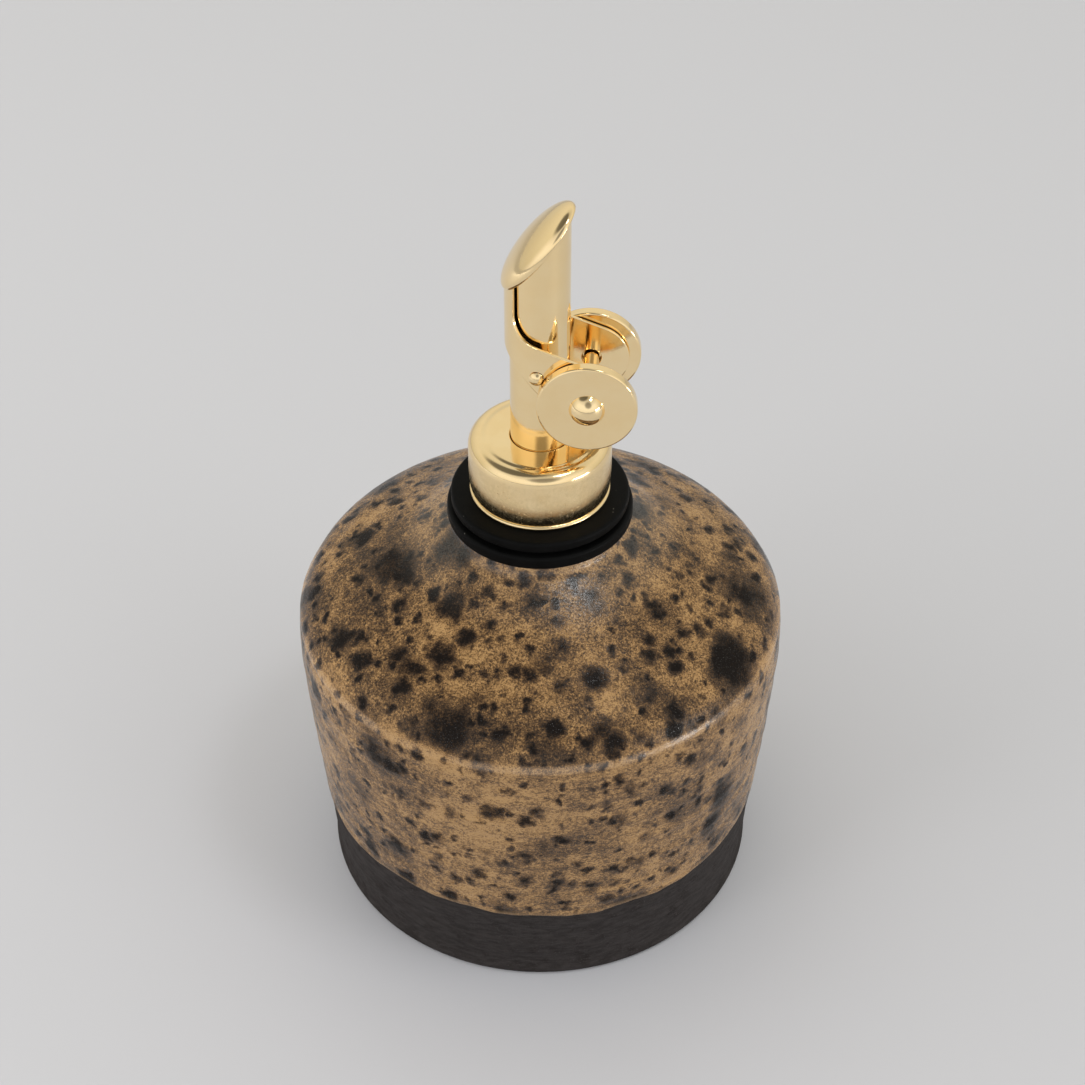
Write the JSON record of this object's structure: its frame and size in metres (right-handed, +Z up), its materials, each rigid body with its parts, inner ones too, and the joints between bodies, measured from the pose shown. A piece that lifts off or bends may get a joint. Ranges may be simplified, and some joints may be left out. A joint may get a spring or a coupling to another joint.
{
  "type": "cruet bottle with flip pourer",
  "caption": "Stoneware cruet bottle with a rubber-stoppered gold pour spout; a gravity flip lid with disc weights opens as the bottle is tilted.",
  "frame": {"origin": "centre of the bottle's foot, on the surface it stands on", "axes": "+Z up along the bottle axis, +X the pouring direction, Y along the lid's hinge axis"},
  "size_m": [0.0922, 0.0922, 0.1479],
  "materials": {
    "stoneware": "satin mottled tan glaze over bare dark clay foot",
    "rubber": "moulded black rubber, satin",
    "gold": "polished gold plate",
    "steel": "drawn stainless tube"
  },
  "bodies": {
    "bottle": {"bottle": "stoneware"},
    "pourer": {"stopper": "rubber", "collar": "gold", "spout_tube": "gold", "vent_tube": "steel", "near_pivot_rivet": "gold", "far_pivot_rivet": "gold"},
    "lid": {"flip_lid": "gold"},
    "weights": {"near_weight": "gold", "far_weight": "gold", "weight_rivet": "gold"}
  },
  "joints": [
    {"name": "pourer_lift", "type": "slide", "parent": "bottle", "child": "pourer", "axis": [0, 0, 1], "range_m": [0, 0.045]},
    {"name": "lid_flip", "type": "hinge", "parent": "pourer", "child": "lid", "pos_m": [-0.0001, 0, 0.1173], "axis": [0, -1, 0], "range_deg": [0, 50]},
    {"name": "weight_spin", "type": "hinge", "parent": "lid", "child": "weights", "pos_m": [0.0087, 0, 0.1128], "axis": [0, 1, 0], "continuous": true}
  ]
}
